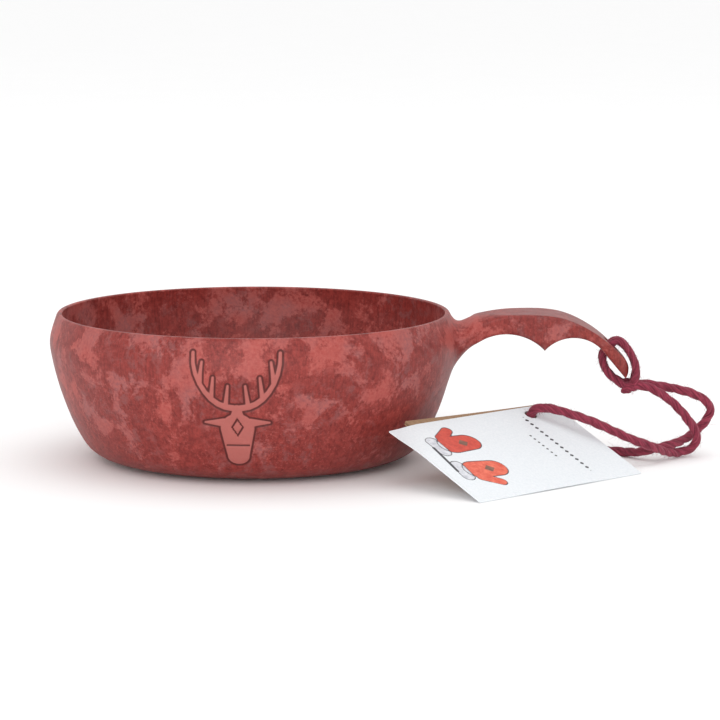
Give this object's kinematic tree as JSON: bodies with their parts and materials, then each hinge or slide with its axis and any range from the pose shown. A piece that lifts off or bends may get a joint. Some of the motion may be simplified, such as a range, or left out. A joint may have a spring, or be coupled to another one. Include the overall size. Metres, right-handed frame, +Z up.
{
  "type": "kuksa drinking bowl",
  "caption": "Shallow round drinking bowl with a short finger-grooved handle; a yarn loop hitched through the handle's end carries a white swing card and a folded kraft leaflet.",
  "frame": {"origin": "centre of the flat base, on the surface that the bowl stands on", "axes": "+Z up along the bowl's axis, +X along the handle away from the bowl"},
  "size_m": [0.2341, 0.1585, 0.0516],
  "materials": {
    "wood_composite": "satin wood-fibre composite, mottled red",
    "wool_yarn": "fuzzy twisted wool, wine red",
    "white_card": "smooth coated white card, printed",
    "kraft_card": "uncoated brown kraft card"
  },
  "bodies": {
    "cup": {"cup_body": "wood_composite", "cord_hitch_front": "wool_yarn", "cord_hitch_back": "wool_yarn", "cord_knot": "wool_yarn"},
    "loop": {"cord_loop": "wool_yarn"},
    "white_card": {"white_card": "white_card"},
    "leaflet": {"kraft_leaf_upper": "kraft_card"},
    "leaflet_back": {"kraft_leaf_lower": "kraft_card"}
  },
  "joints": [
    {"name": "loop_swing", "type": "hinge", "parent": "cup", "child": "loop", "pos_m": [0.1319, 0, 0.0249], "axis": [0, 0, 1], "range_deg": [0, 90]},
    {"name": "white_card_fan", "type": "hinge", "parent": "loop", "child": "white_card", "pos_m": [0.0966, -0.0159, 0.0173], "axis": [0.275, -0.2955, 0.9149], "range_deg": [-4, 15]},
    {"name": "leaflet_fan", "type": "hinge", "parent": "loop", "child": "leaflet", "pos_m": [0.0966, -0.0159, 0.0173], "axis": [0.275, -0.2955, 0.9149], "range_deg": [-2, 12]},
    {"name": "leaflet_fold", "type": "hinge", "parent": "leaflet", "child": "leaflet_back", "pos_m": [0.11956, -0.04057, 0.00104], "axis": [-0.732, -0.6813, 0], "range_deg": [0, 12]}
  ]
}
